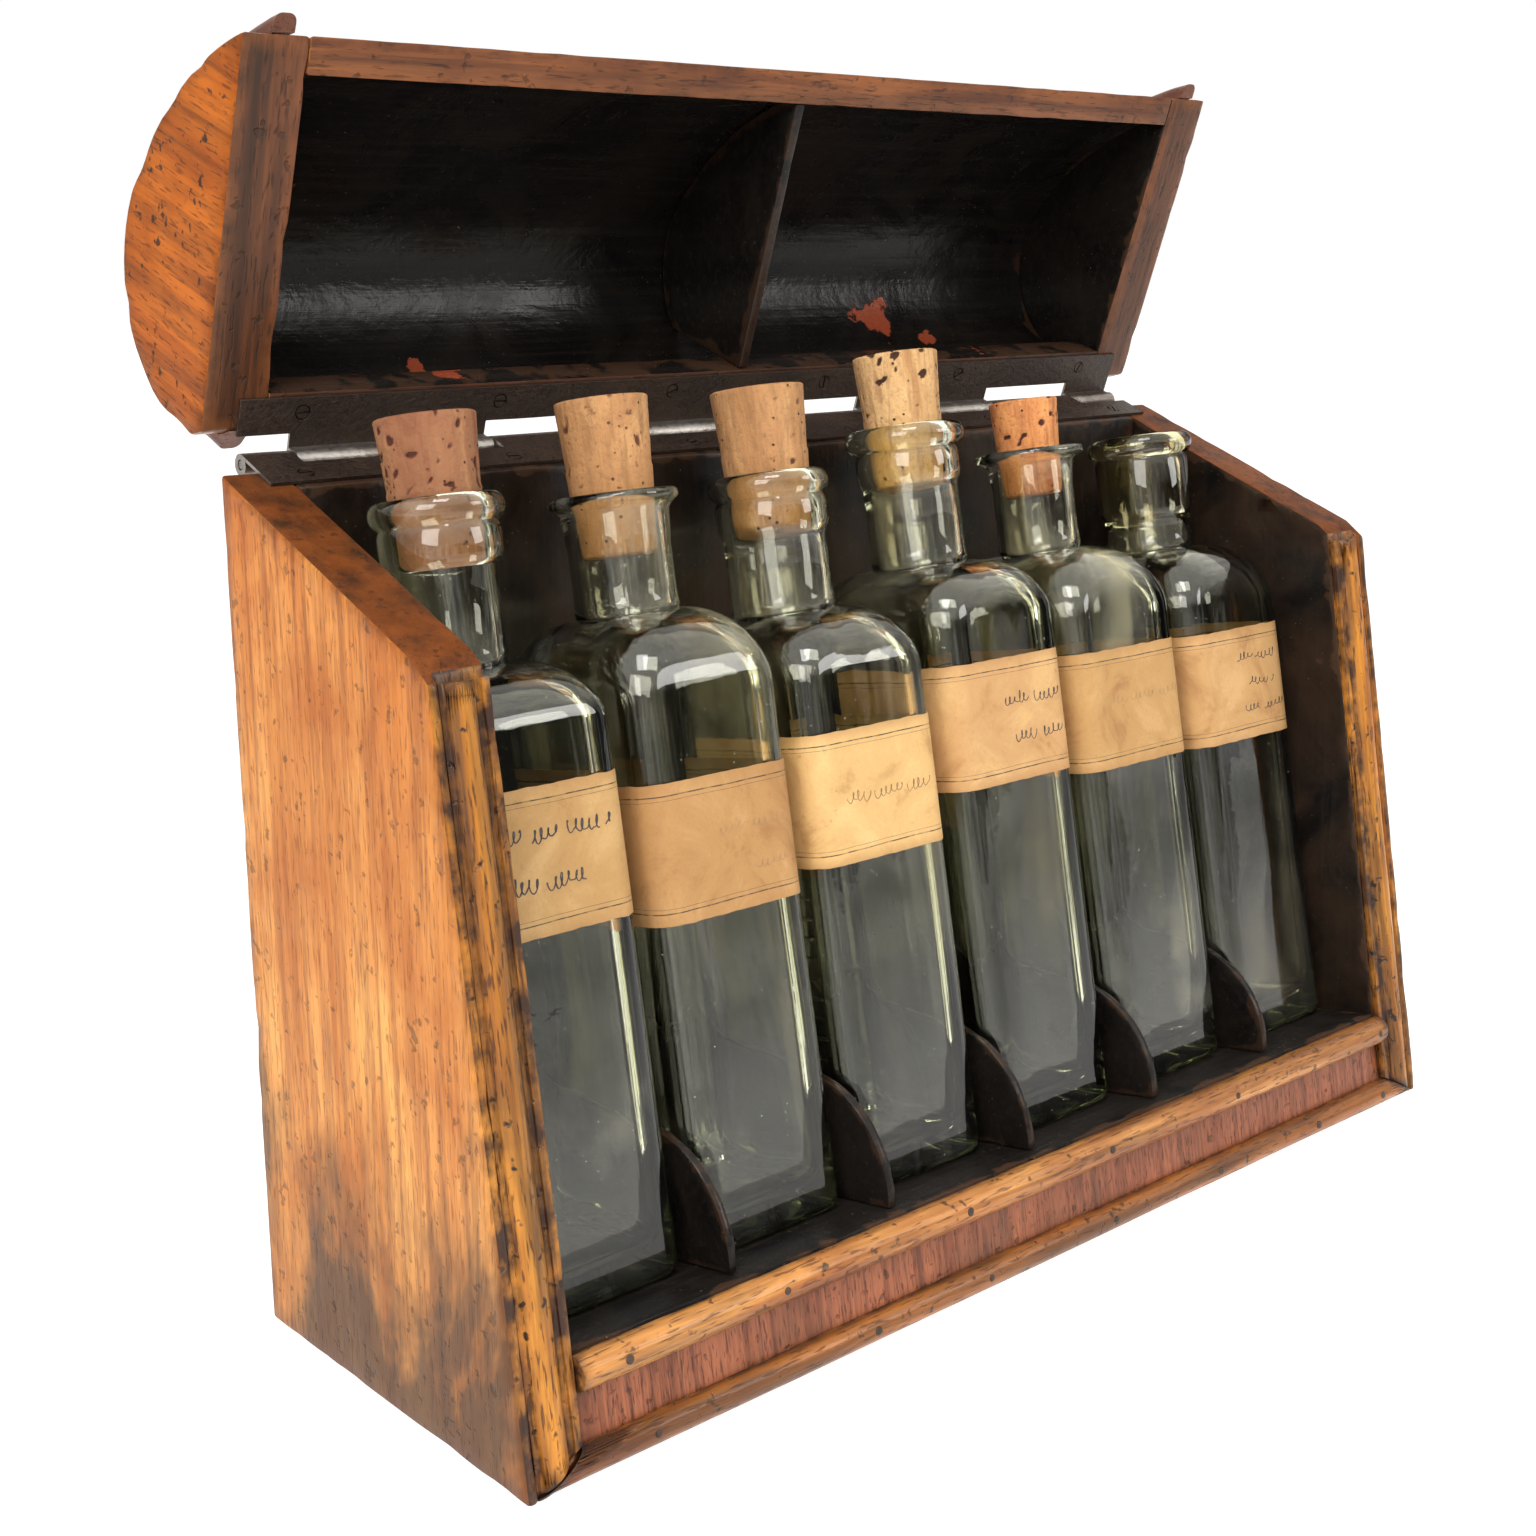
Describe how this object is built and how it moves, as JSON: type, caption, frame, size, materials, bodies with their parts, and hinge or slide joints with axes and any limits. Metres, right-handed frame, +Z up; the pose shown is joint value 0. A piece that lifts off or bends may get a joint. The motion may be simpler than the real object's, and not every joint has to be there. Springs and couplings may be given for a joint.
{
  "type": "apothecary medicine case",
  "caption": "Slant-fronted wooden medicine case with a half-barrel hinged lid and corked square glass bottles leaning in divided bays.",
  "frame": {"origin": "middle of the case's flat underside", "axes": "+X along the case, -Y the open slanted front, +Z up"},
  "size_m": [0.3, 0.1455, 0.2782],
  "materials": {
    "side_wood": "waxed, worn",
    "end_wood": "waxed",
    "moulding_wood": "waxed, worn",
    "veneer": "satin",
    "dark_wood": "worn",
    "shell_wood": "waxed",
    "black_paint": "gloss black paint",
    "iron": "pitted",
    "steel": "worn",
    "glass": "clear, faint green",
    "label_paper": "aged paper",
    "cork": "raw cork"
  },
  "bodies": {
    "case": {"base_board": "dark_wood", "floor_board": "black_paint", "back_panel": "dark_wood", "left_side": "side_wood", "right_side": "side_wood", "front_rail": "veneer", "upper_bead": "moulding_wood", "lower_bead": "moulding_wood", "left_bead": "moulding_wood", "right_bead": "moulding_wood", "divider_1": "black_paint", "divider_2": "black_paint", "divider_3": "black_paint", "divider_4": "black_paint", "divider_5": "black_paint", "bead_nails": "iron", "hinge_case_leaf": "iron", "hinge_pin": "steel", "case_screws": "steel"},
    "lid": {"lid_left_end": "end_wood", "lid_right_end": "end_wood", "lid_shell": "shell_wood", "lid_front_rail": "dark_wood", "lid_back_rail": "dark_wood", "lid_divider": "black_paint", "lid_left_hoop": "dark_wood", "lid_right_hoop": "dark_wood", "hinge_lid_leaf": "iron", "lid_screws": "steel"},
    "bottle_1": {"bottle_1": "glass", "label_1": "label_paper"},
    "bottle_2": {"bottle_2": "glass", "label_2": "label_paper"},
    "bottle_3": {"bottle_3": "glass", "label_3": "label_paper"},
    "bottle_4": {"bottle_4": "glass", "label_4": "label_paper"},
    "bottle_5": {"bottle_5": "glass", "label_5": "label_paper"},
    "bottle_6": {"bottle_6": "glass", "label_6": "label_paper"},
    "cork_1": {"cork_1": "cork"},
    "cork_2": {"cork_2": "cork"},
    "cork_3": {"cork_3": "cork"},
    "cork_4": {"cork_4": "cork"},
    "cork_5": {"cork_5": "cork"}
  },
  "joints": [
    {"name": "lid_hinge", "type": "hinge", "parent": "case", "child": "lid", "pos_m": [0, 0.0565, 0.189], "axis": [-1, 0, 0], "range_deg": [-92.4, 0]},
    {"name": "bottle_1_lift", "type": "slide", "parent": "case", "child": "bottle_1", "axis": [0, -0.3007, 0.9537], "range_m": [0, 0.11]},
    {"name": "bottle_2_lift", "type": "slide", "parent": "case", "child": "bottle_2", "axis": [0, -0.3007, 0.9537], "range_m": [0, 0.11]},
    {"name": "bottle_3_lift", "type": "slide", "parent": "case", "child": "bottle_3", "axis": [0, -0.3007, 0.9537], "range_m": [0, 0.11]},
    {"name": "bottle_4_lift", "type": "slide", "parent": "case", "child": "bottle_4", "axis": [0, -0.3007, 0.9537], "range_m": [0, 0.11]},
    {"name": "bottle_5_lift", "type": "slide", "parent": "case", "child": "bottle_5", "axis": [0, -0.3007, 0.9537], "range_m": [0, 0.11]},
    {"name": "bottle_6_lift", "type": "slide", "parent": "case", "child": "bottle_6", "axis": [0, -0.3007, 0.9537], "range_m": [0, 0.11]},
    {"name": "cork_1_pull", "type": "slide", "parent": "bottle_1", "child": "cork_1", "axis": [0, 0.165, 0.9863], "range_m": [0, 0.022]},
    {"name": "cork_2_pull", "type": "slide", "parent": "bottle_2", "child": "cork_2", "axis": [0, 0.165, 0.9863], "range_m": [0, 0.022]},
    {"name": "cork_3_pull", "type": "slide", "parent": "bottle_3", "child": "cork_3", "axis": [0, 0.165, 0.9863], "range_m": [0, 0.022]},
    {"name": "cork_4_pull", "type": "slide", "parent": "bottle_4", "child": "cork_4", "axis": [0, 0.165, 0.9863], "range_m": [0, 0.022]},
    {"name": "cork_5_pull", "type": "slide", "parent": "bottle_5", "child": "cork_5", "axis": [0, 0.165, 0.9863], "range_m": [0, 0.022]}
  ]
}
